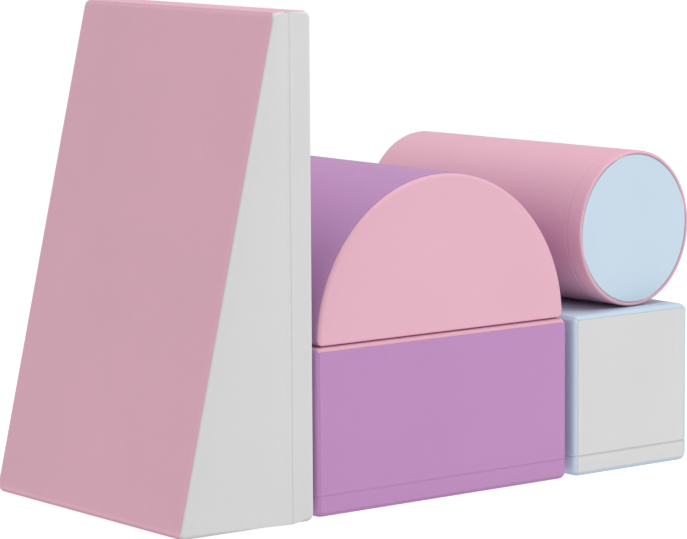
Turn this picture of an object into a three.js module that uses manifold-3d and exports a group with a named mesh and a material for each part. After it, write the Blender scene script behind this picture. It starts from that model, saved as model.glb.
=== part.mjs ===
// A row of five covered foam play modules: a ramp wedge stood on its thick end, a low block with a
// half-round on it, and a narrow block with a roller on it. Each module is a foam core in a sewn
// cover of separate panels, with a zip along the seam of its base cover. Millimetres, +Z up; the row
// runs along X, its fronts face -Y, and the origin is the centre of the footprint on the floor.
import * as THREE from 'three';
import { mergeVertices } from 'three/addons/utils/BufferGeometryUtils.js';
import Module from 'manifold-3d';

const wasm = await Module();
wasm.setup();

// Driving dimensions, all on one module height
const UNIT = 300;
const COVER = 2;
const GAP = 0.3;
const FIT = COVER + GAP;

const WEDGE = { thick: 295, thin: 85, length: 891, depth: 588, band: 50, turn: -1.1 };
const LOW = { width: 590, depth: 600, height: UNIT, band: 38 };
const HALF = { radius: 289, depth: 600, band: 30 };
const NARROW = { width: 291, depth: 600, height: UNIT, band: 38 };
const ROLLER = { radius: 147.5, length: 594, band: 38, turn: 3.4 };

// Places in the row, from the wedge's base corner at the front: x along the row, y to the back
const LOW_AT = { x: 13, y: 15 };
const HALF_AT = { y: 18 };
const NARROW_AT = { x: LOW_AT.x + LOW.width + 14, y: 14 };
const ROLLER_AT = { x: 798, y: 45 };

// Zips
const CHAIN = { width: 10, below: 2, proud: 0.6 };
const SLIDER = { length: 15, width: 10, lift: 0.9, height: 4.2 };
const CROWN = { length: 8, window: 5.4, width: 2.4, clear: 2.3, bar: 1.2 };
const PULL = { length: 20, width: 6.4, slot: 3.4, reach: 5, bar: 1.2 };
const PIVOT = SLIDER.lift + SLIDER.height + 1.15;
const PARKED = 16;
const ARC_STEP = Math.PI / 96;

const foam = new THREE.MeshStandardMaterial({ color: 0xe9e4d8, roughness: 0.95, metalness: 0 });
const pink = new THREE.MeshStandardMaterial({ color: 0xe7b8c7, roughness: 0.5, metalness: 0 });
const purple = new THREE.MeshStandardMaterial({ color: 0xbf92c0, roughness: 0.5, metalness: 0 });
const white = new THREE.MeshStandardMaterial({ color: 0xd9d8d8, roughness: 0.5, metalness: 0 });
const blue = new THREE.MeshStandardMaterial({ color: 0xcbdeed, roughness: 0.5, metalness: 0 });
const tape = new THREE.MeshStandardMaterial({ color: 0xd7d3d6, roughness: 0.85, metalness: 0 });
const nickel = new THREE.MeshStandardMaterial({ color: 0xb9babd, roughness: 0.3, metalness: 1 });

// --- Solids ---------------------------------------------------------------------------------------

// A closed geometry as a solid that can be cut and joined
function solid(geometry) {
  const bare = geometry.clone();
  bare.deleteAttribute('normal');
  bare.deleteAttribute('uv');
  const merged = mergeVertices(bare, 1e-4);
  return new wasm.Manifold(new wasm.Mesh({
    numProp: 3,
    vertProperties: new Float32Array(merged.attributes.position.array),
    triVerts: new Uint32Array(merged.index.array),
  }));
}

// A cut or joined solid back as a geometry
function surface(body) {
  const mesh = body.getMesh();
  const geometry = new THREE.BufferGeometry();
  geometry.setAttribute('position', new THREE.BufferAttribute(new Float32Array(mesh.vertProperties), 3));
  geometry.setIndex(new THREE.BufferAttribute(new Uint32Array(mesh.triVerts), 1));
  const flat = geometry.toNonIndexed();
  flat.computeVertexNormals();
  return flat;
}

function block(x, y, z) {
  const geometry = new THREE.BoxGeometry(x[1] - x[0], y[1] - y[0], z[1] - z[0]);
  geometry.translate((x[0] + x[1]) / 2, (y[0] + y[1]) / 2, (z[0] + z[1]) / 2);
  return geometry;
}

// An outline of [x, z] points, carried along Y from y0 to y1
function prism(outline, y0, y1) {
  const shape = new THREE.Shape(outline.map(([x, z]) => new THREE.Vector2(x, z)));
  const geometry = new THREE.ExtrudeGeometry(shape, { depth: y1 - y0, bevelEnabled: false });
  geometry.rotateX(Math.PI / 2);
  geometry.translate(0, y1, 0);
  return geometry;
}

// The region between two radii and two angles about the Y axis, carried along Y.
// Angles run from +X towards +Z.
function sector(inner, outer, from, to, y0, y1) {
  const steps = Math.max(2, Math.ceil((to - from) / ARC_STEP));
  const arc = (radius) => Array.from({ length: steps + 1 }, (_, i) => {
    const angle = from + ((to - from) * i) / steps;
    return [radius * Math.cos(angle), radius * Math.sin(angle)];
  });
  return prism([...arc(outer), ...arc(inner).reverse()], y0, y1);
}

// A round-topped outline of one radius, cut flat at a height above its centre, carried along Y
function dome(radius, floor, y0, y1) {
  const from = Math.asin(floor / radius);
  const steps = Math.ceil((Math.PI - 2 * from) / ARC_STEP);
  const arc = Array.from({ length: steps + 1 }, (_, i) => {
    const angle = from + ((Math.PI - 2 * from) * i) / steps;
    return [radius * Math.cos(angle), radius * Math.sin(angle)];
  });
  return prism(arc, y0, y1);
}

// A full ring or disc about the Y axis
function ring(inner, outer, y0, y1) {
  const profile = [[inner, y0], [outer, y0], [outer, y1], [inner, y1], [inner, y0]];
  const points = profile.map(([r, y]) => new THREE.Vector2(r, y));
  const closed = inner === 0 ? points.slice(0, 4) : points;
  return new THREE.LatheGeometry(closed, 2 * Math.round(Math.PI / ARC_STEP));
}

// A convex outline moved inwards by one distance on each of its sides
function inset(outline, distance) {
  const size = outline.length;
  const lines = outline.map(([x, z], i) => {
    const [nextX, nextZ] = outline[(i + 1) % size];
    const run = Math.hypot(nextX - x, nextZ - z);
    const [dx, dz] = [(nextX - x) / run, (nextZ - z) / run];
    return { x: x - dz * distance, z: z + dx * distance, dx, dz };
  });
  return lines.map((line, i) => {
    const before = lines[(i + size - 1) % size];
    const cross = before.dx * line.dz - before.dz * line.dx;
    const along = ((line.x - before.x) * line.dz - (line.z - before.z) * line.dx) / cross;
    return [before.x + before.dx * along, before.z + before.dz * along];
  });
}

function cut(geometry, ...tools) {
  return surface(tools.reduce((body, tool) => body.subtract(solid(tool)), solid(geometry)));
}

function named(name, geometry, material) {
  const mesh = new THREE.Mesh(geometry, material);
  mesh.name = name;
  return mesh;
}

// --- Zips -----------------------------------------------------------------------------------------
// A zip's own frame: +X along its run, +Y across it, +Z out of the cover.

function sliderBody() {
  const half = SLIDER.length / 2;
  const side = SLIDER.width / 2;
  const plan = new THREE.Shape();
  plan.moveTo(-half, -side * 0.62);
  plan.quadraticCurveTo(-half * 0.3, -side * 1.1, half * 0.35, -side);
  plan.quadraticCurveTo(half, -side * 0.9, half, -side * 0.35);
  plan.lineTo(half, side * 0.35);
  plan.quadraticCurveTo(half, side * 0.9, half * 0.35, side);
  plan.quadraticCurveTo(-half * 0.3, side * 1.1, -half, side * 0.62);
  plan.closePath();
  const plates = new THREE.ExtrudeGeometry(plan, {
    depth: SLIDER.height, bevelEnabled: false, curveSegments: 5,
  });
  plates.translate(0, 0, SLIDER.lift);

  const foot = SLIDER.lift + SLIDER.height;
  const top = foot + CROWN.clear + CROWN.bar;
  const bow = CROWN.length / 2;
  const eye = CROWN.window / 2;
  const arch = new THREE.Shape([
    new THREE.Vector2(-bow, foot - 0.5), new THREE.Vector2(bow, foot - 0.5),
    new THREE.Vector2(bow, top - 1), new THREE.Vector2(bow - 1, top),
    new THREE.Vector2(-bow + 1, top), new THREE.Vector2(-bow, top - 1),
  ]);
  arch.holes.push(new THREE.Path([
    new THREE.Vector2(-eye, foot), new THREE.Vector2(-eye, foot + CROWN.clear),
    new THREE.Vector2(eye, foot + CROWN.clear), new THREE.Vector2(eye, foot),
  ]));
  const crown = new THREE.ExtrudeGeometry(arch, { depth: CROWN.width, bevelEnabled: false });
  crown.rotateX(Math.PI / 2);
  crown.translate(0, CROWN.width / 2, 0);
  return surface(solid(plates).add(solid(crown)));
}

// The pull lies flat along -X, with its bar through the crown at the origin of the hinge
function pullTab() {
  const side = PULL.width / 2;
  const end = -PULL.length;
  const tab = new THREE.Shape();
  tab.moveTo(PULL.bar / 2, -side * 0.8);
  tab.lineTo(PULL.bar / 2, side * 0.8);
  tab.lineTo(-PULL.reach, side);
  tab.lineTo(end + 3, side * 0.85);
  tab.quadraticCurveTo(end, side * 0.85, end, 0);
  tab.quadraticCurveTo(end, -side * 0.85, end + 3, -side * 0.85);
  tab.lineTo(-PULL.reach, -side);
  tab.closePath();
  const slot = PULL.slot / 2;
  tab.holes.push(new THREE.Path([
    new THREE.Vector2(-PULL.bar / 2, -slot), new THREE.Vector2(-PULL.reach, -slot),
    new THREE.Vector2(-PULL.reach, slot), new THREE.Vector2(-PULL.bar / 2, slot),
  ]));
  const plate = new THREE.ExtrudeGeometry(tab, {
    depth: PULL.bar, bevelEnabled: false, curveSegments: 5,
  });
  plate.translate(0, 0, PIVOT - PULL.bar / 2);
  return plate;
}

// A slider and its pull, parked on the zip at the given distance along it
function runner(name, along) {
  const parts = new THREE.Group();
  parts.add(named(`${name}_zip_slider`, sliderBody(), nickel));
  parts.add(named(`${name}_zip_pull`, pullTab(), nickel));
  parts.position.x = along;
  return parts;
}

// A straight zip of the given length, centred on its own origin
function straightChain(length) {
  return block([-length / 2, length / 2], [-CHAIN.width / 2, CHAIN.width / 2], [-CHAIN.below, CHAIN.proud]);
}

// The room that a straight zip takes out of the panels beside it
function straightRoom(length) {
  const side = CHAIN.width / 2 + GAP;
  const end = length / 2 + GAP;
  return block([-end, end], [-side, side], [-COVER - 1, COVER + 1]);
}

// Turns a zip's frame so that +X follows run and +Z follows out, and moves it to a point
function zipFrame(run, out, at) {
  const across = new THREE.Vector3().crossVectors(out, run);
  return new THREE.Matrix4().makeBasis(run, across, out).setPosition(at);
}

function placed(geometry, matrix) {
  return geometry.clone().applyMatrix4(matrix);
}

// A straight zip with its slider parked near the start of its run
function straightZip(name, length, matrix) {
  const zip = new THREE.Group();
  zip.add(named(`${name}_zip_chain`, straightChain(length), tape));
  zip.add(runner(name, -length / 2 + PARKED));
  zip.applyMatrix4(matrix);
  return zip;
}

const ALONG_X = new THREE.Vector3(1, 0, 0);
const ALONG_Y = new THREE.Vector3(0, 1, 0);
const ALONG_Z = new THREE.Vector3(0, 0, 1);

// --- Covers ---------------------------------------------------------------------------------------

// A block's sides are panels above a zip seam and a narrower band below it. The fronts and backs run
// the full width, and the left and right sides fit between them.
function blockModule(name, size, colours) {
  const { width, depth, height, band } = size;
  const module = new THREE.Group();
  const rise = band + GAP;
  const deck = height - COVER;
  const zipLength = width - 90;
  const seam = new THREE.Vector3(width / 2, depth, band + GAP / 2);
  const matrix = zipFrame(ALONG_X, ALONG_Y, seam);
  const room = placed(straightRoom(zipLength), matrix);

  const core = block([FIT, width - FIT], [FIT, depth - FIT], [FIT, height - FIT]);
  module.add(named(`${name}_core`, core, foam));
  const full = [0, width];
  const back = [depth - COVER, depth];
  const right = [width - COVER, width];
  const side = [FIT, depth - FIT];
  const strips = [['band', [FIT, band]], ['panel', [rise, deck - GAP]]];
  for (const [kind, z] of strips) {
    module.add(named(`${name}_front_${kind}`, block(full, [0, COVER], z), colours.face));
    module.add(named(`${name}_back_${kind}`, cut(block(full, back, z), room), colours.face));
    module.add(named(`${name}_left_${kind}`, block([0, COVER], side, z), colours.side));
    module.add(named(`${name}_right_${kind}`, block(right, side, z), colours.side));
  }
  module.add(named(`${name}_base_panel`, block(full, [0, depth], [0, COVER]), colours.base));
  module.add(named(`${name}_top_panel`, block(full, [0, depth], [deck, height]), colours.top));
  module.add(straightZip(name, zipLength, matrix));
  return module;
}

// The wedge stands on its thick end. Its base is the upright face at x = 0, and its slope faces -X.
function wedgeModule() {
  const { thick, thin, length, depth, band } = WEDGE;
  const module = new THREE.Group();
  const lean = (thick - thin) / length;
  const slant = Math.hypot(1, lean);
  const slopeAt = (z) => -thick + lean * z;
  const outline = [[0, 0], [0, length], [-thin, length], [-thick, 0]];
  const zipLength = length - 150;
  const seam = new THREE.Vector3(-band - GAP / 2, depth, length / 2);
  const matrix = zipFrame(ALONG_Z, ALONG_Y, seam);
  const room = placed(straightRoom(zipLength), matrix);

  module.add(named('wedge_core', prism(inset(outline, FIT), FIT, depth - FIT), foam));

  const low = FIT;
  const high = length - FIT;
  const tip = [length - COVER, length];
  module.add(named('wedge_base_panel', block([-COVER, 0], [0, depth], [low, high]), white));
  module.add(named('wedge_thick_end_panel', block([-thick, 0], [0, depth], [0, COVER]), pink));
  module.add(named('wedge_thin_end_panel', block([-thin, 0], [0, depth], tip), pink));

  const strip = [-band, -FIT];
  const back = [depth - COVER, depth];
  module.add(named('wedge_front_band', block(strip, [0, COVER], [low, high]), white));
  module.add(named('wedge_back_band', cut(block(strip, back, [low, high]), room), white));

  const cutLine = -band - GAP;
  const skin = COVER * slant;
  module.add(named('wedge_slope_panel', prism([
    [slopeAt(low), low], [slopeAt(low) + skin, low], [slopeAt(high) + skin, high], [slopeAt(high), high],
  ], 0, depth), pink));

  const edge = FIT * slant;
  const cheek = [
    [cutLine, low], [cutLine, high], [slopeAt(high) + edge, high], [slopeAt(low) + edge, low],
  ];
  module.add(named('wedge_front_panel', prism(cheek, 0, COVER), white));
  module.add(named('wedge_back_panel', cut(prism(cheek, depth - COVER, depth), room), white));
  module.add(straightZip('wedge', zipLength, matrix));
  return module;
}

function halfRoundModule() {
  const { radius, depth, band } = HALF;
  const module = new THREE.Group();
  const zipLength = 2 * radius - 90;
  const seam = new THREE.Vector3(0, depth, band + GAP / 2);
  const matrix = zipFrame(ALONG_X, ALONG_Y, seam);
  const room = placed(straightRoom(zipLength), matrix);

  const hollow = dome(radius - COVER, FIT - 1, -1, depth + 1);
  module.add(named('half_round_core', dome(radius - FIT, FIT, FIT, depth - FIT), foam));
  module.add(named('half_round_wrap', cut(dome(radius, FIT, FIT, depth - FIT), hollow), purple));
  module.add(named('half_round_front_panel', dome(radius, FIT, 0, COVER), pink));
  module.add(named('half_round_back_panel', cut(dome(radius, FIT, depth - COVER, depth), room), pink));
  module.add(named('half_round_base_panel', block([-radius, radius], [0, depth], [0, COVER]), purple));
  module.add(straightZip('half_round', zipLength, matrix));
  return module;
}

// The roller's zip curves round the seam of its front band, on the side away from the wedge
function rollerModule() {
  const { radius, length, band } = ROLLER;
  const module = new THREE.Group();
  const parkedAt = THREE.MathUtils.degToRad(-50);
  const from = THREE.MathUtils.degToRad(-54);
  const to = THREE.MathUtils.degToRad(64);
  const seam = band + GAP / 2;
  const half = CHAIN.width / 2;
  const chain = sector(radius - CHAIN.below, radius + CHAIN.proud, from, to, seam - half, seam + half);
  const margin = GAP / radius;
  const room = sector(radius - COVER - 1, radius + 2, from - margin, to + margin,
    seam - half - GAP, seam + half + GAP);

  const inner = radius - COVER;
  const wrap = ring(inner, radius, band + GAP, length - FIT);
  module.add(named('roller_core', ring(0, radius - FIT, FIT, length - FIT), foam));
  module.add(named('roller_zip_band', cut(ring(inner, radius, FIT, band), room), pink));
  module.add(named('roller_wrap', cut(wrap, room), pink));
  module.add(named('roller_front_disc', ring(0, radius, 0, COVER), blue));
  module.add(named('roller_back_disc', ring(0, radius, length - COVER, length), blue));
  module.add(named('roller_zip_chain', chain, tape));

  const out = new THREE.Vector3(Math.cos(parkedAt), 0, Math.sin(parkedAt));
  const upwards = new THREE.Vector3(-Math.sin(parkedAt), 0, Math.cos(parkedAt));
  const carriage = new THREE.Group();
  carriage.add(runner('roller', 0));
  carriage.applyMatrix4(zipFrame(upwards, out, out.clone().multiplyScalar(radius).setY(seam)));
  module.add(carriage);
  return module;
}

// --- The row --------------------------------------------------------------------------------------

const row = new THREE.Group();

const wedge = wedgeModule();
wedge.rotation.z = THREE.MathUtils.degToRad(WEDGE.turn);
row.add(wedge);

const lowBlock = blockModule('low_block', LOW, { face: purple, side: purple, top: pink, base: purple });
lowBlock.position.set(LOW_AT.x, LOW_AT.y, 0);
row.add(lowBlock);

const halfRound = halfRoundModule();
halfRound.position.set(LOW_AT.x + LOW.width / 2, HALF_AT.y, LOW.height + GAP);
row.add(halfRound);

const narrowBlock = blockModule('narrow_block', NARROW, { face: white, side: blue, top: blue, base: blue });
narrowBlock.position.set(NARROW_AT.x, NARROW_AT.y, 0);
row.add(narrowBlock);

const roller = rollerModule();
roller.rotation.z = THREE.MathUtils.degToRad(ROLLER.turn);
roller.position.set(ROLLER_AT.x, ROLLER_AT.y, NARROW.height + GAP + ROLLER.radius);
row.add(roller);

// The origin is the centre of the whole row's footprint, on the floor
row.updateMatrixWorld(true);
const extent = new THREE.Box3().setFromObject(row, true);
const middle = extent.getCenter(new THREE.Vector3());
row.position.set(-middle.x, -middle.y, -extent.min.z);

const playSet = new THREE.Group();
playSet.add(row);

export default playSet;
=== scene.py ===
"""A row of five foam play modules in sewn leathercloth covers, with zips on their backs."""

import math

import bpy
import numpy as np
from mathutils import Matrix, Vector, noise


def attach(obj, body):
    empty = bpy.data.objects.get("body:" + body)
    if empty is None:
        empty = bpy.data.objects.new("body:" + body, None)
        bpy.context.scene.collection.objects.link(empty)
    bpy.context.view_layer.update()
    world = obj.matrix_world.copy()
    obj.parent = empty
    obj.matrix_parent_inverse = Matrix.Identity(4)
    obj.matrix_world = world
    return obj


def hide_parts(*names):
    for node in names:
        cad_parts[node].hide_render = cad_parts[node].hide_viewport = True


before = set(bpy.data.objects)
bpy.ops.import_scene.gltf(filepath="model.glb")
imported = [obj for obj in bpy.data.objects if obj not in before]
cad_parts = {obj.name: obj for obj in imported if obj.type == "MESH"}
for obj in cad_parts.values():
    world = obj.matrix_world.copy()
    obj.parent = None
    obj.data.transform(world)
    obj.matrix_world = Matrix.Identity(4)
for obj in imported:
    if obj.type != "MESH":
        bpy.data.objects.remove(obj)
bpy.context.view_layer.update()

MM = 0.001
RIGHT, BACKWARD, UP = np.eye(3)

# How the covers are shaped
EDGE = 9.5 * MM                  # rounding of the edges round each front and back
ROLLER_EDGE = 3.4 * MM
CORNER = 14 * MM                 # rounding of the edges that run from front to back
ARC_STEP = math.radians(2)       # the furthest that a profile turns between two of its points
BAND = 38 * MM                   # height of a block's lower band
WEDGE_BAND = 50 * MM             # width of the band beside the wedge's base
HALF_ROUND_ZIP = 30 * MM         # height of the half-round's zip above its base
SHOULDER = 0.27                  # share of the half-round's arc that edges each of its sides
WEDGE_TURN = math.radians(-1.1)
ROLLER_TURN = math.radians(3.4)
ROLLER_JOIN = math.radians(-75)  # where the roller's wrap meets itself

# How far a side rolls over its rounded edge before its seam with the front or back
FULL = math.pi / 2               # the whole of the edge
SIDE_OVER = math.radians(78)     # the blocks' sides
FACE_OVER = math.radians(20)     # the wedge and the half-round, whose fronts roll on to the sides
SLOPE_OVER = math.radians(50)    # the wedge's slope, away from its ends
SOLE_OVER = math.radians(6)      # the wedge's thick end, away from its own ends
BEAD_OVER = math.radians(150)    # the roller's wrap, which curls right round to a bead

# How far inside its CAD panel a cover's panel starts, which is also the most that it crowns
FACE_ROOM = 2.4 * MM
SIDE_ROOM = 2 * MM
TIP_ROOM = 2 * MM                # the wedge's thin end
ROLLER_ROOM = 1 * MM
CLOSE_ROOM = 1.2 * MM            # where the wedge and the low block stand together
CLOSE_CROWN = 1 * MM
BACK_ROOM = 0.6 * MM             # the backs crown past it, as nothing stands behind them
TOP_ROOM = 0.1 * MM              # the blocks' tops don't crown, as something rests on them
ROLLER_ZIP_ROOM = 0.6 * MM       # from the CAD's wrap to the level of the roller's zip

# Seams, in distances from the stitched line
NEAR_SEAM = (0, 1.2 * MM, 3.5 * MM, 7 * MM, 10.5 * MM, 14 * MM)  # rows of points by a seam
GROOVE = 0.9 * MM
GROOVE_REACH = 1.0 * MM
GROOVE_FALL = 1.15
UNSEWN = 1.0                     # stands for the distance to a seam past an edge that has none
FAINT, CLEAR, DEEP = 0.22, 0.55, 1.0  # how dark the painted shade in a panel's seam grooves is
SEAM_SHADE_REACH = 3.2 * MM
HELD = 15 * MM                   # the cover is held by the foam's rounding this far from a seam
FREE = 45 * MM                   # and stands free of it from here on

# The edges that stand on the floor, which are given painted shade
FLOOR_SHADE = 0.75                   # how dark their painted shade is, on the scale of the seams' painted shade
FLOOR_SHADE_FROM, FLOOR_SHADE_FULL = 0.05, 0.7  # how far down they face where their painted shade starts and is full

# Rows of points away from the seams
STEP = 24 * MM
ROUND_STEP = 14 * MM             # on the half-round and round the roller
NEAR_SHARE = 0.42                # how much of a panel's width the rows by one seam may take
ROW_GAP = 2.5 * MM               # a row that is asked for replaces those nearer to it than this
SEAM_GAP = 2 * MM                # and is left out when it is this near to the rows by a seam
ROLL_ROW = 0.2                   # place of the second row of a rolled edge, as a share of it
ROLL_SEAM = 0.7                  # how much of a rolled edge the rows by its seam may take
HALF_ROUND_TALL = 0.8            # mean height of the half-round's front, as a share of the whole
DISC_WIDE = 0.85                 # mean width of a roller's disc, as a share of the whole

# Zips
OPENING = 4.6 * MM
TAPER = 10 * MM
TAPE_HALF = 5.6 * MM
TAPE_LEVEL = -0.9 * MM
TAPE_BOW = 0.7 * MM
TAPE_THICK = 0.5 * MM
TAPE_STEP = 8 * MM
TAPE_ROWS = np.array([-1, -0.8, -0.4, 0, 0.4, 0.8, 1])
COIL_PITCH = 3.0 * MM
COIL_END = 1.5 * MM
COIL_REACH = 2.7 * MM
COIL_WIRE = 0.5 * MM
COIL_ACROSS = np.array([COIL_REACH, COIL_REACH * 0.82, 0.1 * MM, -0.7 * MM])
COIL_HEIGHT = np.array([-0.75, 0.05, 0.1, -0.35]) * MM
STITCH_PITCH = 4.2 * MM
STITCH_LENGTH = 3.0 * MM
STITCH_WIRE = 0.34 * MM
STITCH_ROW = OPENING + 2.6 * MM
STITCH_ALONG = STITCH_LENGTH * np.array([-0.5, -0.32, 0.32, 0.5])
STITCH_HEIGHT = -0.5 * MM + np.array([-0.35, 0.08, 0.08, -0.35]) * MM
TUBE_SIDES = 4
TUBE_END = 0.45                  # how much of its width a tube keeps at its ends

# The cores, and the crowns from the cloth simulation
CORE_DEPTH = 3.2 * MM            # from a cover's outside to its foam
FRAMES = 20
PRESSURE = 4.0
WAVE_SCALE = 9.0
WAVES = 0.22                     # how uneven a crown is, as a share of its height
WAVES_SUNK = 0.5                 # how far the waves lie below the crown, on their own scale


# --- Places from the frame ------------------------------------------------------------------------

def turned(angle):
    """The matrix that takes rows of points from the row's frame to one turned about Z."""
    c, s = math.cos(angle), math.sin(angle)
    return np.array([[c, -s, 0], [s, c, 0], [0, 0, 1]])


def local_points(node, turn):
    points = np.array([v.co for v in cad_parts[node].data.vertices])
    return points @ turned(turn)


def local_box(nodes, turn=0.0):
    points = np.concatenate([local_points(node, turn) for node in nodes])
    return points.min(0), points.max(0)


def eased(value, start, end):
    f = np.clip((value - start) / (end - start), 0, 1)
    return f * f * (3 - 2 * f)


# --- Profiles -------------------------------------------------------------------------------------

class Side:
    """One side of a module's profile in X and Z. It is kept as the path of the centre of the edge
    rounding and the outward angle, and is measured along the cover's outside."""

    def __init__(self, *arcs, edge=EDGE, over=SIDE_OVER):
        self.edge, self.over, self.further = edge, over, 0.0
        xs, zs, angles = [], [], []
        for (x, z), radius, start, end in arcs:
            steps = max(2, math.ceil(abs(end - start) / ARC_STEP) + 1)
            for angle in np.linspace(start, end, steps):
                xs.append(x + radius * math.cos(angle))
                zs.append(z + radius * math.sin(angle))
                angles.append(angle)
        self.x, self.z, self.angle = np.array(xs), np.array(zs), np.array(angles)
        outside = self.offset(edge)
        self.s = np.concatenate([[0], np.cumsum(np.hypot(*np.diff(outside, axis=0).T))])
        self.length = self.s[-1]

    def offset(self, reach):
        """The outline at a distance out from the path."""
        x = self.x + reach * np.cos(self.angle)
        z = self.z + reach * np.sin(self.angle)
        return np.stack([x, z], -1)

    def at(self, s):
        return [np.interp(s, self.s, part) for part in (self.x, self.z, self.angle)]

    def further_at(self, s):
        """How much further over than at the side's ends its seams lie."""
        return self.further * eased(np.minimum(s, self.length - s), 0, CORNER)

    def depth(self, front, back):
        """The distance from the seam at the front to the seam at the back."""
        return back - front - 2 * self.edge + 2 * self.edge * self.over

    def find(self, axis, value):
        """The distance along the side at which its outside reaches a value of x (0) or z (1)."""
        line = self.offset(self.edge)[:, axis]
        if line[0] > line[-1]:
            return float(np.interp(-value, -line, self.s))
        return float(np.interp(value, line, self.s))

    def climb(self, z):
        """The first distance along the side at which its outside reaches a height."""
        line = self.offset(self.edge)[:, 1]
        top = int(line.argmax())
        return float(np.interp(z, line[:top], self.s[:top]))

    def rim(self, start, end, over=None):
        """The curve of this side's seam with the front or back, between two distances, or the
        curve some other way over the rounded edge."""
        reach = self.edge * math.cos(self.over if over is None else over)

        def curve(f):
            x, z, angle = self.at(start + np.asarray(f) * (end - start))
            return np.stack([x + reach * np.cos(angle), z + reach * np.sin(angle)], -1)
        return curve


def polygon_sides(corners, over=SIDE_OVER):
    """The sides of a convex outline, given anticlockwise with +X to the right and +Z up."""
    corners = [np.array(corner, float) for corner in corners]
    size = len(corners)
    angles = []
    for i, corner in enumerate(corners):
        dx, dz = corners[(i + 1) % size] - corner
        angle = math.atan2(-dx, dz)
        while angles and angle < angles[-1]:
            angle += 2 * math.pi
        angles.append(angle)
    before = [angles[-1] - 2 * math.pi] + angles[:-1]
    after = angles[1:] + [angles[0] + 2 * math.pi]
    centres = []
    for corner, a, b in zip(corners, before, angles):
        n = np.array([math.cos(a) + math.cos(b), math.sin(a) + math.sin(b)])
        centres.append(corner - CORNER * n / (1 + math.cos(b - a)))
    inner = CORNER - EDGE
    return [
        Side((centres[i], inner, (before[i] + angles[i]) / 2, angles[i]),
             (centres[(i + 1) % size], inner, angles[i], (angles[i] + after[i]) / 2), over=over)
        for i in range(size)
    ]


def straight_seam(start, end, level, side, zip_, upright=False):
    """A straight seam across or up a front or back. Where it has a zip it bows to one side, to
    leave the zip's opening."""
    def curve(f):
        along = start + np.asarray(f) * (end - start)
        bow = side * zip_.opening(along) if zip_ else np.zeros_like(along)
        return np.stack([level + bow, along] if upright else [along, level + bow], -1)
    return curve


# --- Surfaces -------------------------------------------------------------------------------------
# A surface takes distances across and up a panel and gives points and outward normals.

def normal_at(angle, tilt):
    """The normals at outward angles of a profile, tilted towards the back."""
    flat = np.cos(tilt)
    return np.stack([flat * np.cos(angle), np.sin(tilt), flat * np.sin(angle)], -1)


def wrap_surface(side, front, back, start=0.0):
    """A side, from its seam at the front over both rounded edges to its seam at the back."""
    roll = side.edge * side.over
    flat = back - front - 2 * side.edge

    def surface(a, b):
        x, z, angle = side.at(start + a)
        drawn = side.edge * side.further_at(start + a)
        by_front = np.clip(1 - b / NEAR_SEAM[-1], 0, 1)
        by_back = np.clip(1 - (side.depth(front, back) - b) / NEAR_SEAM[-1], 0, 1)
        beyond = b - roll - drawn * (by_front - by_back)
        tilt = (np.minimum(beyond, 0) + np.maximum(beyond - flat, 0)) / side.edge
        y = front + side.edge + np.clip(beyond, 0, flat)
        normal = normal_at(angle, tilt)
        return np.stack([x, y, z], -1) + side.edge * normal, normal
    return surface


def edge_surface(side, start, end, length, y, facing):
    """The part of a rounded edge that belongs to the front or back, from the flat out to the seam.
    Distances across follow the flat's own edge, which is given a length."""
    def surface(a, b):
        s = start + a / length * (end - start)
        x, z, angle = side.at(s)
        tilt = FULL - b / side.edge * (1 - side.further_at(s) / (FULL - side.over))
        normal = normal_at(angle, facing * tilt)
        centre = np.stack([x, np.full(a.shape, y - facing * side.edge), z], -1)
        return centre + side.edge * normal, normal
    return surface


def cap_surface(bottom, right, top, left, width, height, y, facing):
    """A flat panel between four curves, each of which runs the same way as the one opposite."""
    def surface(a, b):
        across, up = a / width, b / height
        u, v = across[..., None], up[..., None]
        edges = ((1 - v) * bottom(across) + v * top(across)
                 + (1 - u) * left(up) + u * right(up))
        corners = ((1 - u) * (1 - v) * bottom(0) + u * (1 - v) * bottom(1)
                   + (1 - u) * v * top(0) + u * v * top(1))
        xz = edges - corners
        points = np.stack([xz[..., 0], np.full(a.shape, y), xz[..., 1]], -1)
        return points, np.broadcast_to(facing * BACKWARD, points.shape)
    return surface


def rows(length, step=STEP, extra=()):
    """Distances across a panel, close together by the seams at its two edges."""
    near = [d for d in NEAR_SEAM if d < NEAR_SHARE * length]
    last = near[-1]
    count = max(1, round((length - 2 * last) / step))
    middle = list(np.linspace(last, length - last, count + 1)[1:-1])
    for d in extra:
        middle = [m for m in middle if abs(m - d) > ROW_GAP]
        if last + SEAM_GAP < d < length - last - SEAM_GAP:
            middle.append(d)
    return np.array(near + sorted(middle) + [length - d for d in reversed(near)])


class Patch:
    """A grid of points over one surface, with their normals and their distances from a seam. An
    edge that is not a seam has the distance to one past it."""

    def __init__(self, surface, across, up, left=0, right=0, below=0, above=0):
        a, b = np.meshgrid(across, up, indexing="ij")
        self.shape = a.shape
        self.points, self.normals = surface(a, b)
        self.seam = np.minimum.reduce([a - across[0] + left, across[-1] - a + right,
                                       b - up[0] + below, up[-1] - b + above])
        self.rise = np.zeros(self.shape)
        self.outward = np.array(self.normals)
        i, j = self.shape[0] // 2, self.shape[1] // 2
        turn = np.cross(self.points[i, j - 1] - self.points[i - 1, j - 1],
                        self.points[i - 1, j] - self.points[i - 1, j - 1])
        self.flipped = float(np.dot(turn, self.normals[i, j])) < 0

    def faces(self, first):
        wide, high = self.shape
        index = first + np.arange(wide * high).reshape(wide, high)
        loop = [index[:-1, :-1], index[1:, :-1], index[1:, 1:], index[:-1, 1:]]
        quads = np.stack(loop[::-1] if self.flipped else loop, -1)
        return quads.reshape(-1, 4)

    def shaped(self):
        """The grid with its crown and the roll of its edges into the seams."""
        groove = GROOVE * np.exp(-(self.seam / GROOVE_REACH) ** GROOVE_FALL)
        return self.points + self.normals * self.rise[..., None] - self.outward * groove[..., None]


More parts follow.
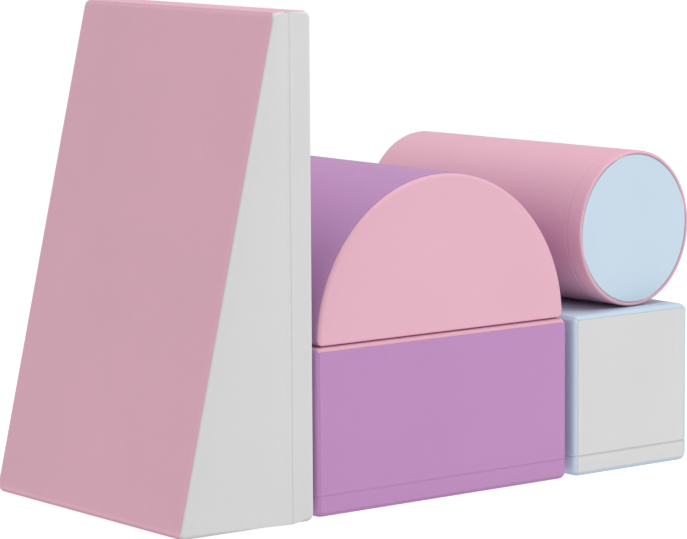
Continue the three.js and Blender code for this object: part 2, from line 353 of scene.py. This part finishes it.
def joined(patches, place):
    """The points of patches, where a function places each patch's, and all the faces."""
    points = np.concatenate([place(patch).reshape(-1, 3) for patch in patches])
    faces, first = [], 0
    for patch in patches:
        faces.extend(patch.faces(first).tolist())
        first += patch.seam.size
    return points, faces


def rolled_cap(bottom, right, top, left, across, up, y, facing):
    """The patches of a front or back that rolls over its edges on to the sides. Each edge is
    either a side with the two distances between which it runs, or the curve of a seam."""
    over = EDGE * (FULL - FACE_OVER)
    by_seam = [over - d for d in reversed(NEAR_SEAM) if d < ROLL_SEAM * over]
    outward = np.array([0, ROLL_ROW * over] + by_seam)
    edges = [bottom, right, top, left]
    rolled = [isinstance(edge, tuple) for edge in edges]
    rims = [edge[0].rim(*edge[1:], FULL) if rolls else edge for edge, rolls in zip(edges, rolled)]
    past = [over if rolls else 0 for rolls in rolled]
    width, height = across[-1], up[-1]
    patches = [Patch(cap_surface(*rims, width, height, y, facing), across, up,
                     past[3], past[1], past[0], past[2])]
    for k, edge in enumerate(edges):
        if not rolled[k]:
            continue
        along, length, before, after = (across, width, 3, 1) if k in (0, 2) else (up, height, 0, 2)
        patches.append(Patch(edge_surface(*edge, length, y, facing), along, outward,
                             UNSEWN * rolled[before], UNSEWN * rolled[after], UNSEWN, 0))
    return patches


class Panel:
    """One piece of a cover: its patches, the body and CAD node it belongs to, its crown, and how
    dark the painted shade in its seams is.
    """

    def __init__(self, module, part, slot, crown, patches, turn=0.0, painted_shade=FAINT):
        self.module, self.node, self.slot = module, f"{module}_{part}", slot
        self.crown, self.patches, self.turn, self.painted_shade = crown, patches, turn, painted_shade


# --- The five covers ------------------------------------------------------------------------------

class Zip:
    """A zip in a seam. Its middle is a place along the seam. Its path takes distances along it
    from there, across it and out of the cover, and gives points."""

    def __init__(self, module, half, middle, path, turn):
        self.module, self.half, self.middle = module, half, middle
        self.path, self.turn = path, turn

    def opening(self, place):
        """How far the cover stands back from the seam, on either side, at a place along it."""
        return OPENING * eased(self.half - np.abs(place - self.middle), 0, TAPER)

    def ends(self, start=0.0):
        """Where a panel that starts at a place along the seam needs rows of points for the ends
        of the opening."""
        middle = self.middle - start
        return [middle + side * (self.half - d) for side in (-1, 1) for d in (0, TAPER / 2, TAPER)]


def straight_zip(module, run, across, level, turn=0.0):
    low, high = local_box([f"{module}_zip_chain"], turn)
    centre = (low + high) / 2
    centre[1] = level
    half = float((high - low) @ run) / 2

    def path(a, b, h):
        a, b, h = (np.asarray(value)[..., None] for value in (a, b, h))
        return centre + a * run + b * across + h * BACKWARD
    return Zip(module, half, float(centre @ run), path, turn)


def cap_levels(front, back, over, edge=EDGE):
    """Where the flat of the front and of the back lie along Y, and which way each faces."""
    sunk = edge * (1 - math.sin(over))
    return [("front", front + sunk, -1.0), ("back", back - sunk, 1.0)]


def block_cover(module, colours, left_room, side_crown, painted_shade):
    low, high = local_box([f"{module}_base_panel", f"{module}_top_panel"])
    zip_ = straight_zip(module, RIGHT, -UP, high[1])
    x0, x1 = low[0] + left_room, high[0] - SIDE_ROOM
    z0, z1 = low[2], high[2] - TOP_ROOM
    front, back = low[1] + FACE_ROOM, high[1] - BACK_ROOM
    base, right, top, left = polygon_sides([(x0, z0), (x1, z0), (x1, z1), (x0, z1)])
    deep = base.depth(front, back)
    seam = z0 + BAND
    split_right, split_left = right.find(1, seam), left.find(1, seam)

    def wrapped(part, side, start, end, colour, crown):
        patch = Patch(wrap_surface(side, front, back, start), rows(end - start), rows(deep))
        return Panel(module, part, colours[colour], crown, [patch])

    panels = [
        wrapped("base_panel", base, 0, base.length, "base", 0),
        wrapped("right_band", right, 0, split_right, "side", side_crown / 2),
        wrapped("right_panel", right, split_right, right.length, "side", side_crown),
        wrapped("top_panel", top, 0, top.length, "top", 0),
        wrapped("left_panel", left, 0, split_left, "side", side_crown),
        wrapped("left_band", left, split_left, left.length, "side", side_crown / 2),
    ]
    for where, y, facing in cap_levels(front, back, SIDE_OVER):
        parting = zip_ if where == "back" else None
        lower = straight_seam(x0, x1, seam, -1, parting)
        upper = straight_seam(x0, x1, seam, 1, parting)
        across = rows(x1 - x0, extra=parting.ends(x0) if parting else ())
        band, wall = seam - z0, z1 - seam
        band_edges = (base.rim(0, base.length), right.rim(0, split_right), lower,
                      left.rim(left.length, split_left))
        wall_edges = (upper, right.rim(split_right, right.length), top.rim(top.length, 0),
                      left.rim(split_left, 0))
        for part, edges, tall, crown in [("band", band_edges, band, FACE_ROOM / 2),
                                         ("panel", wall_edges, wall, FACE_ROOM)]:
            surface = cap_surface(*edges, x1 - x0, tall, y, facing)
            panels.append(Panel(module, f"{where}_{part}", colours["face"], crown,
                                [Patch(surface, across, rows(tall))], painted_shade=painted_shade))
    return panels, zip_


def wedge_cover(module, turn):
    """The wedge's profile runs from its thick end on the floor, up its base face, over its thin end
    at the top and down its slope."""
    low, high = local_box([f"{module}_base_panel", f"{module}_thick_end_panel"], turn)
    tip_low, tip_high = local_box([f"{module}_thin_end_panel"], turn)
    zip_ = straight_zip(module, UP, RIGHT, high[1], turn)
    thick_x, thin_x, base_x = low[0], tip_low[0], high[0] - CLOSE_ROOM
    z0, z1 = low[2], tip_high[2] - TIP_ROOM
    front, back = low[1] + FACE_ROOM, high[1] - BACK_ROOM
    lean = (thin_x - thick_x) / (tip_high[2] - z0)
    slope_x = thick_x + FACE_ROOM * math.hypot(1, lean)
    corners = [(slope_x, z0), (base_x, z0), (base_x, z1), (slope_x + lean * (z1 - z0), z1)]
    thick_end, base, thin_end, slope = polygon_sides(corners, FACE_OVER)
    slope.further = SLOPE_OVER - FACE_OVER
    thick_end.further = SOLE_OVER - FACE_OVER
    seam = high[0] - WEDGE_BAND
    split_low, split_high = thick_end.find(0, seam), thin_end.find(0, seam)

    panels = []
    for part, side, colour, crown in [("thick_end_panel", thick_end, "pink_cover", 0),
                                      ("base_panel", base, "white_cover", CLOSE_CROWN),
                                      ("thin_end_panel", thin_end, "pink_cover", TIP_ROOM),
                                      ("slope_panel", slope, "pink_cover", FACE_ROOM)]:
        surface = wrap_surface(side, front, back)
        patch = Patch(surface, rows(side.length), rows(side.depth(front, back)))
        panels.append(Panel(module, part, colour, crown, [patch], turn))
    for where, y, facing in cap_levels(front, back, FULL):
        parting = zip_ if where == "back" else None
        inner = straight_seam(z0, z1, seam, 1, parting, upright=True)
        outer = straight_seam(z0, z1, seam, -1, parting, upright=True)
        up = rows(z1 - z0, extra=parting.ends(z0) if parting else ())
        band = rolled_cap((thick_end, split_low, thick_end.length), (base, 0, base.length),
                          (thin_end, split_high, 0), inner, rows(WEDGE_BAND), up, y, facing)
        wall = rolled_cap((thick_end, 0, split_low), outer, (thin_end, thin_end.length, split_high),
                          (slope, slope.length, 0), rows(seam - thick_x), up, y, facing)
        panels.append(Panel(module, f"{where}_band", "white_cover", FACE_ROOM / 2, band, turn))
        panels.append(Panel(module, f"{where}_panel", "white_cover", FACE_ROOM, wall, turn))
    return panels, zip_


def half_round_cover(module):
    low, high = local_box([f"{module}_base_panel", f"{module}_front_panel"])
    top = local_box([f"{module}_wrap"])[1][2]
    zip_ = straight_zip(module, RIGHT, -UP, high[1])
    middle, foot_z = (low[0] + high[0]) / 2, low[2]
    radius = (high[0] - low[0]) / 2 - SIDE_ROOM
    front, back = low[1] + SIDE_ROOM, high[1] - BACK_ROOM

    inner = CORNER - EDGE
    alpha = math.asin(CORNER / (radius - CORNER))
    half_turn = (alpha - FULL) / 2
    reach = (radius - CORNER) * math.cos(alpha)
    right_centre = (middle + reach, foot_z + CORNER)
    left_centre = (middle - reach, foot_z + CORNER)
    base = Side((left_centre, inner, -math.pi - half_turn, -FULL),
                (right_centre, inner, -FULL, half_turn), over=FACE_OVER)
    arc = Side((right_centre, inner, half_turn, alpha),
               ((middle, foot_z), radius - EDGE, alpha, math.pi - alpha),
               (left_centre, inner, math.pi - alpha, math.pi - half_turn), over=FACE_OVER)
    deep = base.depth(front, back)

    panels = []
    for part, side, crown, step in [("base_panel", base, 0, STEP),
                                    ("wrap", arc, SIDE_ROOM, ROUND_STEP)]:
        patch = Patch(wrap_surface(side, front, back), rows(side.length, step), rows(deep))
        panels.append(Panel(module, part, "purple_cover", crown, [patch], painted_shade=CLEAR))

    end = arc.length
    shoulder = SHOULDER * end
    seam = foot_z + HALF_ROUND_ZIP
    split = arc.climb(seam)
    width, tall = high[0] - low[0], (top - foot_z) * HALF_ROUND_TALL
    foot, crest = (base, 0, base.length), (arc, end - shoulder, shoulder)
    for where, y, facing in cap_levels(front, back, FULL):
        if where == "front":
            patches = rolled_cap(foot, (arc, 0, shoulder), crest, (arc, end, end - shoulder),
                                 rows(width, ROUND_STEP), rows(tall, ROUND_STEP), y, facing)
        else:
            x_left = arc.rim(end - split, 0, FULL)(0)[0]
            x_right = arc.rim(split, 0, FULL)(0)[0]
            lower = straight_seam(x_left, x_right, seam, -1, zip_)
            upper = straight_seam(x_left, x_right, seam, 1, zip_)
            stretch = width / (x_right - x_left)
            across = rows(width, ROUND_STEP, [place * stretch for place in zip_.ends(x_left)])
            patches = rolled_cap(foot, (arc, 0, split), lower, (arc, end, end - split),
                                 across, rows(HALF_ROUND_ZIP), y, facing)
            patches += rolled_cap(upper, (arc, split, shoulder), crest,
                                  (arc, end - split, end - shoulder),
                                  across, rows(tall - HALF_ROUND_ZIP, ROUND_STEP), y, facing)
        panels.append(Panel(module, f"{where}_panel", "pink_cover", SIDE_ROOM, patches))
    return panels, zip_


def roller_cover(module, turn):
    low, high = local_box([f"{module}_front_disc", f"{module}_back_disc"], turn)
    centre_x, _, centre_z = (low + high) / 2
    full = (high[2] - low[2]) / 2
    radius = full - ROLLER_ROOM
    front, back = low[1] + SIDE_ROOM, high[1] - SIDE_ROOM
    once_round = (ROLLER_JOIN, ROLLER_JOIN + 2 * math.pi)
    around = Side(((centre_x, centre_z), radius - ROLLER_EDGE, *once_round),
                  edge=ROLLER_EDGE, over=BEAD_OVER)
    deep = around.depth(front, back)

    chain = local_points(f"{module}_zip_chain", turn)
    angles = np.arctan2(chain[:, 2] - centre_z, chain[:, 0] - centre_x)
    zip_angle = (angles.min() + angles.max()) / 2
    half = full * (angles.max() - angles.min()) / 2
    seam_y = (chain[:, 1].min() + chain[:, 1].max()) / 2
    seam = seam_y - (front + ROLLER_EDGE) + ROLLER_EDGE * BEAD_OVER

    def path(a, b, h):
        angle = zip_angle + np.asarray(a) / full
        reach = full - ROLLER_ZIP_ROOM + np.asarray(h)
        return np.stack([centre_x + reach * np.cos(angle), seam_y + np.asarray(b) + 0 * angle,
                         centre_z + reach * np.sin(angle)], -1)
    zip_ = Zip(module, half, (zip_angle - ROLLER_JOIN) * radius, path, turn)

    whole = wrap_surface(around, front, back)
    across = rows(around.length, ROUND_STEP, zip_.ends())

    def band(a, b):
        return whole(a, b * (seam - zip_.opening(a)) / seam)

    def sleeve(a, b):
        bow = zip_.opening(a)
        return whole(a, seam + bow + b * (deep - seam - bow) / (deep - seam))

    band_patch = Patch(band, across, rows(seam))
    sleeve_patch = Patch(sleeve, across, rows(deep - seam))
    # The beads' seams at the discs sink along the roller, so that they don't open
    band_patch.outward[:, :3] = -BACKWARD
    sleeve_patch.outward[:, -3:] = BACKWARD
    panels = [
        Panel(module, "zip_band", "pink_cover", ROLLER_ROOM / 2, [band_patch], turn),
        Panel(module, "wrap", "pink_cover", ROLLER_ROOM, [sleeve_patch], turn),
    ]
    quarter = around.length / 4
    size = 2 * radius * DISC_WIDE
    for where, y, facing in cap_levels(front, back, BEAD_OVER, ROLLER_EDGE):
        surface = cap_surface(
            around.rim(0, quarter), around.rim(quarter, 2 * quarter),
            around.rim(3 * quarter, 2 * quarter), around.rim(4 * quarter, 3 * quarter),
            size, size, y, facing)
        patch = Patch(surface, rows(size), rows(size))
        panels.append(Panel(module, f"{where}_disc", "blue_cover", SIDE_ROOM, [patch], turn, DEEP))
    return panels, zip_


# --- Crowns ---------------------------------------------------------------------------------------

def simulate(patches):
    """Blows all the patches up at once as cloth held at their seams, and gives how far each point
    of each patch rises."""
    points, faces = joined(patches, lambda patch: patch.points)
    mesh = bpy.data.meshes.new("cloth")
    mesh.from_pydata(points.tolist(), [], faces)
    cloth = bpy.data.objects.new("cloth", mesh)
    scene = bpy.context.scene
    scene.collection.objects.link(cloth)

    seam = np.concatenate([patch.seam.ravel() for patch in patches])
    pins = cloth.vertex_groups.new(name="pins")
    pins.add(np.nonzero(seam < HELD)[0].tolist(), 1.0, "REPLACE")

    modifier = cloth.modifiers.new("cloth", "CLOTH")
    settings = modifier.settings
    settings.quality = 4
    settings.mass = 0.3
    settings.vertex_group_mass = "pins"
    settings.use_pressure = True
    settings.uniform_pressure_force = PRESSURE
    settings.effector_weights.gravity = 0
    settings.tension_stiffness = settings.compression_stiffness = 15
    settings.bending_stiffness = 2
    modifier.point_cache.frame_start = 1
    modifier.point_cache.frame_end = FRAMES
    for step in range(1, FRAMES + 1):
        scene.frame_set(step)
    blown = cloth.evaluated_get(bpy.context.evaluated_depsgraph_get()).to_mesh()
    after = np.empty(len(points) * 3)
    blown.vertices.foreach_get("co", after)
    after = after.reshape(-1, 3)
    cloth.to_mesh_clear()
    bpy.data.objects.remove(cloth)
    scene.frame_set(1)

    rises, first = [], 0
    for patch in patches:
        moved = after[first:first + patch.seam.size].reshape(patch.points.shape) - patch.points
        rises.append(np.sum(moved * patch.normals, -1))
        first += patch.seam.size
    return rises


def raise_crowns(panels):
    """Gives every panel its crown: no higher than its own limit, level over its middle, and with
    the faint unevenness of foam under a cover."""
    patches = [patch for panel in panels for patch in panel.patches]
    limits = [panel.crown for panel in panels for _ in panel.patches]
    rises = simulate(patches)
    for patch, limit, rise in zip(patches, limits, rises):
        if limit == 0:
            continue
        level = limit * np.tanh(np.maximum(rise, 0) / limit)
        waves = [noise.noise(Vector(p) * WAVE_SCALE) for p in patch.points.reshape(-1, 3)]
        waves = WAVES * limit * (np.array(waves).reshape(patch.shape) - WAVES_SUNK)
        patch.rise = level * eased(patch.seam, 0, FREE) + waves * eased(patch.seam, HELD, FREE)


# --- Materials ------------------------------------------------------------------------------------

class Nodes:
    """A material's node tree, with short ways to add to it."""

    def __init__(self, name):
        self.material = bpy.data.materials.new(name)
        self.material.use_nodes = True
        self.tree = self.material.node_tree
        self.shader = self.tree.nodes["Principled BSDF"]
        self.place = self.add("ShaderNodeTexCoord").outputs["Object"]

    def add(self, kind, **values):
        node = self.tree.nodes.new(kind)
        for name, value in values.items():
            setattr(node, name, value)
        return node

    def link(self, output, socket):
        if isinstance(output, (int, float)):
            socket.default_value = output
        else:
            self.tree.links.new(output, socket)

    def texture(self, kind, scale, **values):
        node = self.add(kind, **values)
        self.link(self.place, node.inputs["Vector"])
        node.inputs["Scale"].default_value = scale
        return node

    def noise(self, scale, detail, distortion=0.0):
        node = self.texture("ShaderNodeTexNoise", scale)
        node.inputs["Detail"].default_value = detail
        node.inputs["Distortion"].default_value = distortion
        return node.outputs["Fac"]

    def math(self, operation, first, second):
        node = self.add("ShaderNodeMath", operation=operation)
        self.link(first, node.inputs[0])
        self.link(second, node.inputs[1])
        return node.outputs[0]

    def remap(self, value, from_low, from_high, to_low, to_high):
        node = self.add("ShaderNodeMapRange")
        node.interpolation_type = "SMOOTHSTEP"
        self.link(value, node.inputs["Value"])
        for socket, number in zip(("From Min", "From Max", "To Min", "To Max"),
                                  (from_low, from_high, to_low, to_high)):
            node.inputs[socket].default_value = number
        return node.outputs["Result"]

    def mix(self, factor, first, second):
        node = self.add("ShaderNodeMix", data_type="RGBA")
        self.link(factor, node.inputs["Factor"])
        for socket, colour in ((node.inputs[6], first), (node.inputs[7], second)):
            if isinstance(colour, tuple):
                socket.default_value = (*colour, 1)
            else:
                self.link(colour, socket)
        return node.outputs[2]

    def bump(self, height, distance, strength, below=None):
        node = self.add("ShaderNodeBump")
        self.link(height, node.inputs["Height"])
        node.inputs["Distance"].default_value = distance
        node.inputs["Strength"].default_value = strength
        if below is not None:
            self.link(below, node.inputs["Normal"])
        return node.outputs["Normal"]

    def finished(self, colour, roughness, normal, **constants):
        """The material with its shader's inputs. Other inputs are named as on the shader, but
        with _ for a space."""
        self.link(colour, self.shader.inputs["Base Color"])
        self.link(roughness, self.shader.inputs["Roughness"])
        if normal is not None:
            self.link(normal, self.shader.inputs["Normal"])
        for name, value in constants.items():
            self.shader.inputs[name.replace("_", " ")].default_value = value
        return self.material


def linear(red, green, blue):
    def one(value):
        value /= 255
        return value / 12.92 if value <= 0.04045 else ((value + 0.055) / 1.055) ** 2.4
    return one(red), one(green), one(blue)


def shade(colour, factor):
    return tuple(min(1.0, part * factor) for part in colour)


def leathercloth(name, colour):
    """Coated cloth with a fine grain, a little drawn up along its seams, and with painted shade
    where a
    piece asks for it: in its seam grooves and on its edges that face down to the floor."""
    n = Nodes(name)
    seam = n.add("ShaderNodeAttribute", attribute_name="seam").outputs["Fac"]
    painted_shade = n.add("ShaderNodeAttribute", attribute_name="painted_shade").outputs["Fac"]
    drawn = n.remap(seam, 3 * MM, 20 * MM, 1, 0)
    rubbed = n.math("MULTIPLY", n.remap(seam, 2 * MM, 12 * MM, 1, 0), n.noise(38, 3))

    cloudy = n.mix(n.noise(4.5, 3), shade(colour, 0.955), shade(colour, 1.03))
    mottled = n.mix(n.math("MULTIPLY", n.noise(320, 4), 0.4), cloudy, shade(colour, 0.9))
    worn = n.mix(n.math("MULTIPLY", rubbed, 0.22), mottled, shade(colour, 1.12))
    # Painted shade: the colour darkens towards the seam grooves and on the edges that face down
    # near the floor
    darkened = n.mix(painted_shade, worn, shade(colour, 0.55))

    polish = n.remap(n.noise(22, 4), 0.3, 0.7, 0.40, 0.52)
    roughness = n.math("ADD", polish, n.math("MULTIPLY", painted_shade, 0.25))

    grain = n.texture("ShaderNodeTexVoronoi", 620, feature="SMOOTH_F1")
    grain.inputs["Smoothness"].default_value = 0.6
    pebbles = n.bump(grain.outputs["Distance"], 0.22 * MM, 0.9)
    slack = n.bump(n.noise(16, 2, 0.6), 0.9 * MM, 0.35, pebbles)
    puckers = n.math("MULTIPLY", n.noise(115, 2, 0.4), drawn)
    return n.finished(darkened, roughness, n.bump(puckers, 0.9 * MM, 0.6, slack),
                      Specular_IOR_Level=0.25, Sheen_Weight=0.02, Sheen_Roughness=0.5)


def foam():
    n = Nodes("play_foam")
    pale = linear(232, 226, 206)
    cells = n.texture("ShaderNodeTexVoronoi", 900).outputs["Distance"]
    return n.finished(n.mix(n.noise(90, 4), shade(pale, 0.9), pale), 0.95,
                      n.bump(cells, 0.5 * MM, 0.8))


def woven_tape():
    """The zips' tape: a close weave, two threads to the millimetre."""
    n = Nodes("zip_tape_weave")
    pale = linear(206, 201, 207)
    x, y, z = (n.texture("ShaderNodeTexWave", 320, wave_type="BANDS",
                         bands_direction=axis).outputs["Fac"] for axis in ("X", "Y", "Z"))
    threads = n.math("MULTIPLY", n.math("MULTIPLY", x, y), z)
    return n.finished(n.mix(threads, shade(pale, 0.78), pale), 0.85,
                      n.bump(threads, 0.15 * MM, 0.7), Sheen_Weight=0.15)


def nylon():
    n = Nodes("zip_coil_nylon")
    pale = linear(222, 218, 222)
    return n.finished(n.mix(n.noise(60, 3), shade(pale, 0.92), pale),
                      n.remap(n.noise(400, 2), 0.3, 0.7, 0.28, 0.4),
                      n.bump(n.noise(1500, 2), 0.05 * MM, 0.4))


def thread():
    n = Nodes("stitch_thread")
    pale = linear(226, 220, 224)
    twist = n.texture("ShaderNodeTexWave", 700, wave_type="BANDS",
                      bands_direction="DIAGONAL").outputs["Fac"]
    return n.finished(n.mix(twist, shade(pale, 0.8), pale), 0.6,
                      n.bump(twist, 0.1 * MM, 0.6), Sheen_Weight=0.2)


def nickel():
    """Plated zinc, lightly scratched by handling."""
    n = Nodes("nickel_plate")
    bright = linear(196, 197, 200)
    return n.finished(n.mix(n.noise(150, 4), shade(bright, 0.82), bright),
                      n.remap(n.noise(420, 4, 1.5), 0.3, 0.7, 0.2, 0.42),
                      n.bump(n.noise(900, 3, 2.0), 0.015 * MM, 0.5), Metallic=1)


COVERS = {
    "pink_cover": leathercloth("pink_leathercloth", linear(234, 182, 199)),
    "purple_cover": leathercloth("purple_leathercloth", linear(193, 143, 194)),
    "white_cover": leathercloth("white_leathercloth", linear(219, 219, 219)),
    "blue_cover": leathercloth("blue_leathercloth", linear(203, 222, 237)),
}
FOAM, TAPE, NYLON, THREAD, NICKEL = foam(), woven_tape(), nylon(), thread(), nickel()


# --- Pieces ---------------------------------------------------------------------------------------

def make_piece(name, points, faces, material, turn=0.0):
    """A smooth piece from points in a frame turned about Z."""
    mesh = bpy.data.meshes.new(name)
    mesh.from_pydata((points @ turned(turn).T).tolist(), [], faces)
    mesh.shade_smooth()
    mesh.materials.append(material)
    piece = bpy.data.objects.new(name, mesh)
    bpy.context.scene.collection.objects.link(piece)
    return piece


def sew(panel):
    """Makes the piece that stands for one CAD panel."""
    points, faces = joined(panel.patches, Patch.shaped)
    piece = make_piece(f"cover_{panel.node}", points, faces, COVERS[panel.slot], panel.turn)
    seam = np.concatenate([patch.seam.ravel() for patch in panel.patches])
    # Painted shade on the edges that face down near the floor, put into the colour
    down = np.concatenate([-patch.normals[..., 2].ravel() for patch in panel.patches])
    on_floor = 1 - eased(points[:, 2], EDGE, 2 * EDGE)
    floor_shade = FLOOR_SHADE * eased(down, FLOOR_SHADE_FROM, FLOOR_SHADE_FULL) * on_floor
    # Painted shade in the grooves at the seams
    seam_shade = panel.painted_shade * (1 - eased(seam, 0, SEAM_SHADE_REACH))
    for name, values in (("seam", seam), ("painted_shade", np.maximum(seam_shade, floor_shade))):
        piece.data.attributes.new(name, "FLOAT", "POINT").data.foreach_set("value", values)
    piece.modifiers.new("weld", "WELD").merge_threshold = 0.02 * MM
    smooth = piece.modifiers.new("smooth", "SUBSURF")
    smooth.levels = smooth.render_levels = 1
    smooth.boundary_smooth = "PRESERVE_CORNERS"
    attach(piece, panel.module)
    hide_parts(panel.node)


def foam_core(module, panels):
    """The foam block inside a cover: the same rounded form, a little inside it."""
    patches = [patch for panel in panels for patch in panel.patches]
    points, faces = joined(patches, lambda patch: patch.points - patch.normals * CORE_DEPTH)
    core = make_piece(f"foam_{module}", points, faces, FOAM, panels[0].turn)
    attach(core, module)
    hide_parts(f"{module}_core")


def tube(line, radius):
    """A closed tube along a short line of points, with the two ends drawn in."""
    ahead = np.gradient(line, axis=0)
    ahead /= np.linalg.norm(ahead, axis=1, keepdims=True)
    guide = np.array([0.31, 0.57, 0.76])  # a direction in which none of the tubes runs
    points, faces = [], []
    last = len(line) - 1
    for k, (at, way) in enumerate(zip(line, ahead)):
        u = np.cross(way, guide)
        u /= np.linalg.norm(u)
        v = np.cross(way, u)
        size = radius * (TUBE_END if k in (0, last) else 1)
        for i in range(TUBE_SIDES):
            angle = 2 * math.pi * i / TUBE_SIDES
            points.append(at + size * (u * math.cos(angle) + v * math.sin(angle)))
    for k in range(last):
        ring, after = k * TUBE_SIDES, (k + 1) * TUBE_SIDES
        for i in range(TUBE_SIDES):
            j = (i + 1) % TUBE_SIDES
            faces.append([ring + i, ring + j, after + j, after + i])
    faces.append(list(range(TUBE_SIDES))[::-1])
    faces.append([last * TUBE_SIDES + i for i in range(TUBE_SIDES)])
    return np.array(points), faces


def gathered(parts):
    """Joins lists of (points, faces) into one."""
    points, faces, first = [], [], 0
    for part_points, part_faces in parts:
        points.append(part_points)
        faces.extend([[first + i for i in face] for face in part_faces])
        first += len(part_points)
    return np.concatenate(points), faces


def zip_tape(zip_):
    """The strip under the teeth, bowed down a little at its sides."""
    count = max(8, round(2 * zip_.half / TAPE_STEP))
    along = np.linspace(-zip_.half, zip_.half, count + 1)
    a, b = np.meshgrid(along, TAPE_ROWS * TAPE_HALF, indexing="ij")
    points = zip_.path(a, b, TAPE_LEVEL - TAPE_BOW * (np.abs(b) / TAPE_HALF) ** 3)
    index = np.arange(a.size).reshape(a.shape)
    quads = np.stack([index[:-1, :-1], index[:-1, 1:], index[1:, 1:], index[1:, :-1]], -1)
    tape = make_piece(f"zip_tape_{zip_.module}", points.reshape(-1, 3),
                      quads.reshape(-1, 4).tolist(), TAPE, zip_.turn)
    thick = tape.modifiers.new("thick", "SOLIDIFY")
    thick.thickness = TAPE_THICK
    thick.offset = 0
    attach(tape, zip_.module)
    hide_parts(f"{zip_.module}_zip_chain")


def zip_coil(zip_):
    """Two rows of nylon turns that lie between each other along the middle of the tape."""
    parts = []
    count = int(2 * (zip_.half - COIL_END) / COIL_PITCH)
    for i in range(2 * count):
        along = np.full(len(COIL_ACROSS), (i - count) * COIL_PITCH / 2)
        side = 1 if i % 2 else -1
        parts.append(tube(zip_.path(along, side * COIL_ACROSS, COIL_HEIGHT), COIL_WIRE))
    coil = make_piece(f"zip_coil_{zip_.module}", *gathered(parts), NYLON, zip_.turn)
    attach(coil, zip_.module)


def zip_stitches(zip_):
    """The rows of stitching that hold the cover to the tape on either side."""
    parts = []
    reach = zip_.half - TAPER
    for side in (-1, 1):
        across = np.full(len(STITCH_ALONG), side * STITCH_ROW)
        for i in range(int(2 * reach / STITCH_PITCH)):
            along = -reach + (i + 0.5) * STITCH_PITCH + STITCH_ALONG
            parts.append(tube(zip_.path(along, across, STITCH_HEIGHT), STITCH_WIRE))
    stitches = make_piece(f"zip_stitches_{zip_.module}", *gathered(parts), THREAD, zip_.turn)
    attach(stitches, zip_.module)


def finish_metal(node):
    """Softens the edges of a slider or pull and gives it its plating."""
    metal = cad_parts[node]
    metal.data.materials.clear()
    metal.data.materials.append(NICKEL)
    metal.modifiers.new("weld", "WELD").merge_threshold = 0.01 * MM
    bevel = metal.modifiers.new("bevel", "BEVEL")
    bevel.width = 0.3 * MM
    bevel.segments = 2
    bevel.limit_method = "ANGLE"
    bevel.angle_limit = math.radians(35)
    bevel.harden_normals = False


# --- The row --------------------------------------------------------------------------------------

LOW_COLOURS = {"base": "purple_cover", "side": "purple_cover", "face": "purple_cover",
               "top": "pink_cover"}
NARROW_COLOURS = {"base": "blue_cover", "side": "blue_cover", "face": "white_cover",
                  "top": "blue_cover"}

modules = [
    block_cover("low_block", LOW_COLOURS, CLOSE_ROOM, CLOSE_CROWN, FAINT),
    block_cover("narrow_block", NARROW_COLOURS, SIDE_ROOM, SIDE_ROOM, CLEAR),
    wedge_cover("wedge", WEDGE_TURN),
    half_round_cover("half_round"),
    roller_cover("roller", ROLLER_TURN),
]
raise_crowns([panel for panels, _ in modules for panel in panels])
for panels, zip_ in modules:
    for panel in panels:
        sew(panel)
    foam_core(zip_.module, panels)
    zip_tape(zip_)
    zip_coil(zip_)
    zip_stitches(zip_)
    finish_metal(f"{zip_.module}_zip_slider")
    finish_metal(f"{zip_.module}_zip_pull")


# --- Floor, light and camera ----------------------------------------------------------------------

def floor():
    """A pale floor that glows enough to be white all over."""
    n = Nodes("pale_floor")
    pale = (0.35, 0.35, 0.35)
    material = n.finished(n.mix(n.noise(0.4, 2), shade(pale, 0.995), pale), 0.9, None,
                          Specular_IOR_Level=0.1, Emission_Color=(1, 1, 1, 1),
                          Emission_Strength=0.84)
    size = 60
    points = np.array([[-size, -size, 0], [size, -size, 0], [size, size, 0], [-size, size, 0]])
    piece = make_piece("floor", points, [[0, 1, 2, 3]], material)


def area_light(name, place, aim, size, power):
    light = bpy.data.lights.new(name, "AREA")
    light.shape = "SQUARE"
    light.size = size
    light.energy = power
    lamp = bpy.data.objects.new(name, light)
    lamp.location = place
    lamp.rotation_mode = "QUATERNION"
    lamp.rotation_quaternion = (Vector(aim) - Vector(place)).to_track_quat("-Z", "Y")
    bpy.context.scene.collection.objects.link(lamp)


def studio():
    world = bpy.data.worlds.new("studio")
    world.use_nodes = True
    background = world.node_tree.nodes["Background"]
    background.inputs["Color"].default_value = (1, 1, 1, 1)
    background.inputs["Strength"].default_value = 0.46
    bpy.context.scene.world = world
    centre = (0, 0, 0.35)
    area_light("key", (2.6, -4.2, 3.6), centre, 3.0, 58)
    area_light("overhead", (0.3, -0.5, 4.2), centre, 3.0, 82)


def camera():
    """Looks at the row from its left front, through a long lens."""
    yaw, pitch, roll = (math.radians(v) for v in (38.38, 7.31, -0.37))
    level = math.cos(pitch)
    forward = Vector((math.sin(yaw) * level, math.cos(yaw) * level, -math.sin(pitch)))
    data = bpy.data.cameras.new("camera")
    data.sensor_width = 36
    data.lens = 186.3
    data.clip_end = 200
    eye = bpy.data.objects.new("camera", data)
    eye.location = (-4.0653, -5.1249, 1.2225)
    eye.rotation_mode = "QUATERNION"
    rolled = Matrix.Rotation(roll, 3, "Z").to_quaternion()
    eye.rotation_quaternion = forward.to_track_quat("-Z", "Y") @ rolled
    bpy.context.scene.collection.objects.link(eye)
    bpy.context.scene.camera = eye


floor()
studio()
camera()
bpy.context.scene.view_settings.view_transform = "Standard"
